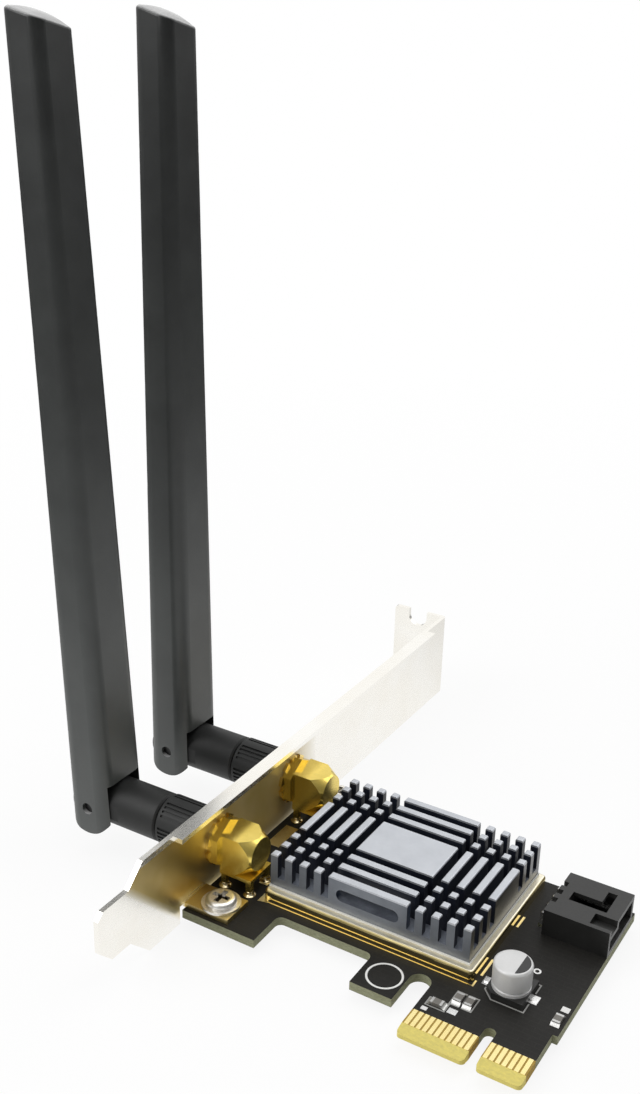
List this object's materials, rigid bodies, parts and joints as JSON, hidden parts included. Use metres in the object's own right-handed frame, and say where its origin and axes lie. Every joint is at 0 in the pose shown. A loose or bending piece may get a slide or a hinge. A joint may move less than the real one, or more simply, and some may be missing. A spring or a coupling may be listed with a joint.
{
  "type": "wireless expansion card",
  "caption": "Short dark expansion card with a cross-cut heatsink, keyed edge contacts, a folded bright bracket and folding paddle aerials on gilt sockets.",
  "frame": {"origin": "centre of the key notch of the edge connector, at the insertion edge, on the component face", "axes": "+X along the card away from the bracket, -Y the way the card goes into its slot, +Y up the bracket to its screw tab, +Z out of the component face along the upright aerials"},
  "size_m": [0.1013, 0.12, 0.1443],
  "materials": {
    "board_laminate": "satin",
    "gilt": "polished",
    "bracket_nickel": "polished",
    "screw_nickel": "polished",
    "can_tin": "polished",
    "chip_moulding": "matte",
    "gap_pad": "matte",
    "tape": "matte",
    "heatsink_aluminium": "satin",
    "capacitor_aluminium": "satin",
    "black_moulding": "satin",
    "tinned": "satin",
    "chip_ceramic": "satin",
    "insulator_white": "satin",
    "hinge_steel": "satin",
    "aerial_black": "matte",
    "radiator_laminate": "satin"
  },
  "bodies": {
    "card": {"circuit_board": "board_laminate", "edge_contacts": "gilt", "mounting_bracket": "bracket_nickel", "bracket_screws": "screw_nickel", "shield_can": "can_tin", "radio_chip": "chip_moulding", "chip_gap_pad": "gap_pad", "reference_crystal": "can_tin", "amplifier_modules": "chip_moulding", "thermal_tape": "tape", "heatsink": "heatsink_aluminium", "capacitor_can": "capacitor_aluminium", "capacitor_foot": "black_moulding", "capacitor_leads": "tinned", "header_housing": "black_moulding", "header_pins": "tinned", "chip_bodies": "chip_ceramic", "chip_end_caps": "tinned", "lock_washers": "gilt", "socket_nuts": "gilt", "front_jack_body": "gilt", "front_jack_insulator": "insulator_white", "front_jack_pin": "gilt", "rear_jack_body": "gilt", "rear_jack_insulator": "insulator_white", "rear_jack_pin": "gilt"},
    "front_elbow_body": {"front_elbow": "aerial_black", "front_plug_body": "gilt"},
    "front_coupling_body": {"front_coupling_grip": "aerial_black", "front_coupling_nut": "gilt"},
    "front_paddle_body": {"front_paddle": "aerial_black", "front_hinge_pin": "hinge_steel", "front_radiator": "radiator_laminate"},
    "rear_elbow_body": {"rear_elbow": "aerial_black", "rear_plug_body": "gilt"},
    "rear_coupling_body": {"rear_coupling_grip": "aerial_black", "rear_coupling_nut": "gilt"},
    "rear_paddle_body": {"rear_paddle": "aerial_black", "rear_hinge_pin": "hinge_steel", "rear_radiator": "radiator_laminate"}
  },
  "joints": [
    {"name": "front_swivel", "type": "hinge", "parent": "card", "child": "front_elbow_body", "pos_m": [-0.0818, 0.0178, 0.007], "axis": [1, 0, 0], "range_deg": [0, 180]},
    {"name": "front_coupling_spin", "type": "hinge", "parent": "front_elbow_body", "child": "front_coupling_body", "pos_m": [-0.0637, 0.0178, 0.007], "axis": [1, 0, 0], "continuous": true},
    {"name": "front_tilt", "type": "hinge", "parent": "front_elbow_body", "child": "front_paddle_body", "pos_m": [-0.0818, 0.0178, 0.007], "axis": [0, -1, 0], "range_deg": [-3, 87]},
    {"name": "rear_swivel", "type": "hinge", "parent": "card", "child": "rear_elbow_body", "pos_m": [-0.0818, 0.0411, 0.007], "axis": [1, 0, 0], "range_deg": [-180, 0]},
    {"name": "rear_coupling_spin", "type": "hinge", "parent": "rear_elbow_body", "child": "rear_coupling_body", "pos_m": [-0.0637, 0.0411, 0.007], "axis": [1, 0, 0], "continuous": true},
    {"name": "rear_tilt", "type": "hinge", "parent": "rear_elbow_body", "child": "rear_paddle_body", "pos_m": [-0.0818, 0.0411, 0.007], "axis": [0, -1, 0], "range_deg": [-0.45, 89.55]}
  ]
}
